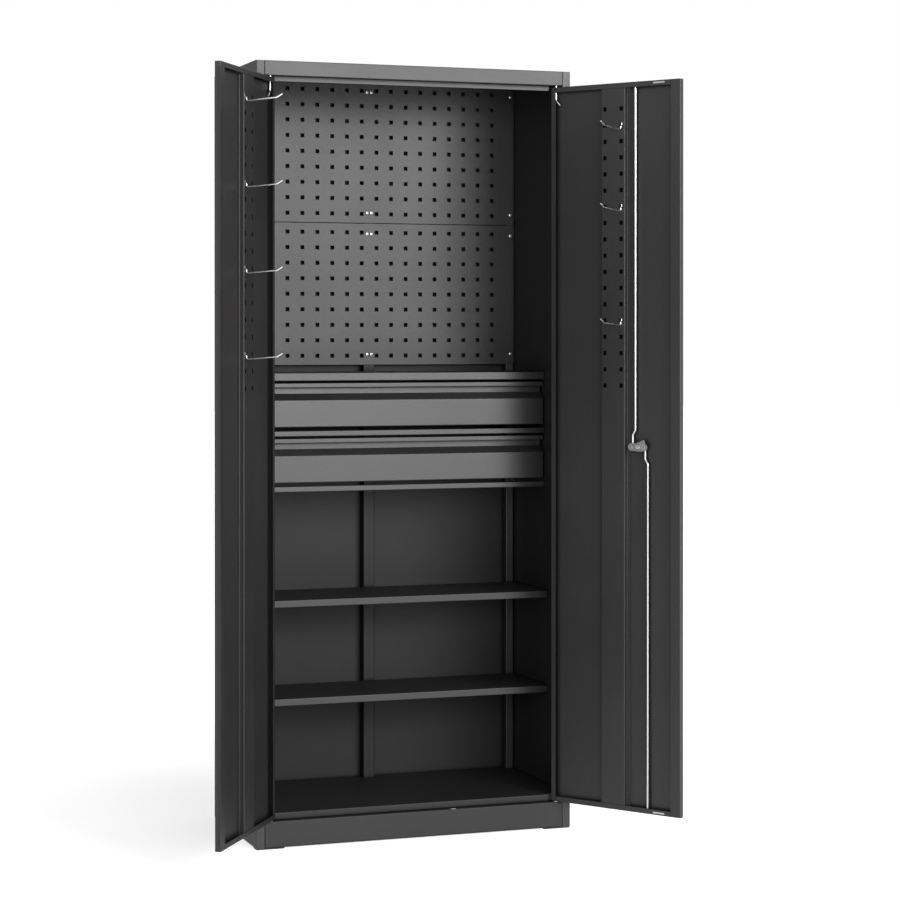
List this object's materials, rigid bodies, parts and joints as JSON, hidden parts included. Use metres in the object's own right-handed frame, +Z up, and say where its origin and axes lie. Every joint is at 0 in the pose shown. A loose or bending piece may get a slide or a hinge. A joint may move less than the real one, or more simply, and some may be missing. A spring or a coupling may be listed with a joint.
{
  "type": "tool cabinet",
  "caption": "Tall folded-steel tool cabinet with two pivot-hung doors, pegboard back, drawers, shelves and a rod lock.",
  "frame": {"origin": "on the floor under the middle of the cabinet's own footprint, doors left out", "axes": "+X to the cabinet's right as a person in front of it sees it, +Y from the front to the back, +Z up"},
  "size_m": [1.1041, 0.6965, 1.8],
  "materials": {
    "coat": "fine-textured charcoal powder coat, semi-matt",
    "zinc": "bright zinc plating",
    "handle_coat": "smooth black coat on a die casting",
    "foot_plastic": "moulded black plastic",
    "washer_nylon": "natural nylon"
  },
  "bodies": {
    "carcass": {"side_panel_right": "coat", "side_panel_left": "coat", "back_panel_right": "coat", "back_panel_left": "coat", "top_panel": "coat", "kick_plate": "coat", "floor_panel": "coat", "foot_front_right": "foot_plastic", "foot_front_left": "foot_plastic", "foot_rear_right": "foot_plastic", "foot_rear_left": "foot_plastic", "pegboard_upper": "coat", "pegboard_lower": "coat", "pegboard_screws": "zinc", "shelf_upper": "coat", "shelf_lower": "coat", "shelf_supports": "coat", "pivot_washers": "washer_nylon", "unit_top": "coat", "unit_side_right": "coat", "unit_side_left": "coat", "slides_right": "zinc", "slides_left": "zinc", "unit_rail_upper": "coat", "unit_rail_lower": "coat"},
    "drawer_upper": {"drawer_upper_front": "coat", "drawer_upper_tray": "coat", "drawer_upper_slide_right": "zinc", "drawer_upper_slide_left": "zinc"},
    "drawer_lower": {"drawer_lower_front": "coat", "drawer_lower_tray": "coat", "drawer_lower_slide_right": "zinc", "drawer_lower_slide_left": "zinc"},
    "door_left": {"door_left_skin": "coat", "door_left_stiffener": "coat", "door_left_hooks": "zinc", "door_left_pivot_top": "zinc", "door_left_pivot_bottom": "zinc", "door_left_meeting_strip": "coat"},
    "door_right": {"door_right_skin": "coat", "door_right_stiffener": "coat", "door_right_hooks": "zinc", "door_right_pivot_top": "zinc", "door_right_pivot_bottom": "zinc", "door_right_rose": "handle_coat", "door_right_barrel": "zinc", "door_right_nut": "zinc", "door_right_catch_plates": "zinc"},
    "lock_handle": {"handle_lever": "handle_coat", "handle_spindle": "zinc", "lock_cam": "zinc", "cam_screw": "zinc"},
    "lock_plug": {"key_plug": "zinc"},
    "lock_rod_upper": {"rod_upper": "zinc", "rod_upper_clip": "zinc"},
    "lock_rod_lower": {"rod_lower": "zinc", "rod_lower_clip": "zinc"}
  },
  "joints": [
    {"name": "door_left_swing", "type": "hinge", "parent": "carcass", "child": "door_left", "pos_m": [-0.351, -0.1945, 0.9135], "axis": [0, 0, 1], "range_deg": [-6, 124]},
    {"name": "door_right_swing", "type": "hinge", "parent": "carcass", "child": "door_right", "pos_m": [0.351, -0.1945, 0.9135], "axis": [0, 0, 1], "range_deg": [-124, 6]},
    {"name": "handle_turn", "type": "hinge", "parent": "door_right", "child": "lock_handle", "pos_m": [0.48641, -0.38542, 0.9135], "axis": [0.829, 0.5592, 0], "range_deg": [0, 90]},
    {"name": "key_turn", "type": "hinge", "parent": "lock_handle", "child": "lock_plug", "pos_m": [0.48641, -0.38542, 0.9135], "axis": [0.829, 0.5592, 0], "range_deg": [0, 90]},
    {"name": "rod_upper_pin", "type": "hinge", "parent": "lock_handle", "child": "lock_rod_upper", "pos_m": [0.47691, -0.37133, 0.9135], "axis": [0.829, 0.5592, 0], "range_deg": [-91, 0]},
    {"name": "rod_lower_pin", "type": "hinge", "parent": "lock_handle", "child": "lock_rod_lower", "pos_m": [0.49592, -0.39951, 0.9135], "axis": [0.829, 0.5592, 0], "range_deg": [-91, 0]},
    {"name": "drawer_upper_slide", "type": "slide", "parent": "carcass", "child": "drawer_upper", "axis": [0, -1, 0], "range_m": [0, 0.135]},
    {"name": "drawer_lower_slide", "type": "slide", "parent": "carcass", "child": "drawer_lower", "axis": [0, -1, 0], "range_m": [0, 0.135]}
  ],
  "couplings": [
    {"joint": "rod_upper_pin", "follows": "handle_turn", "ratio": -1.0108},
    {"joint": "rod_lower_pin", "follows": "handle_turn", "ratio": -1.0108}
  ]
}
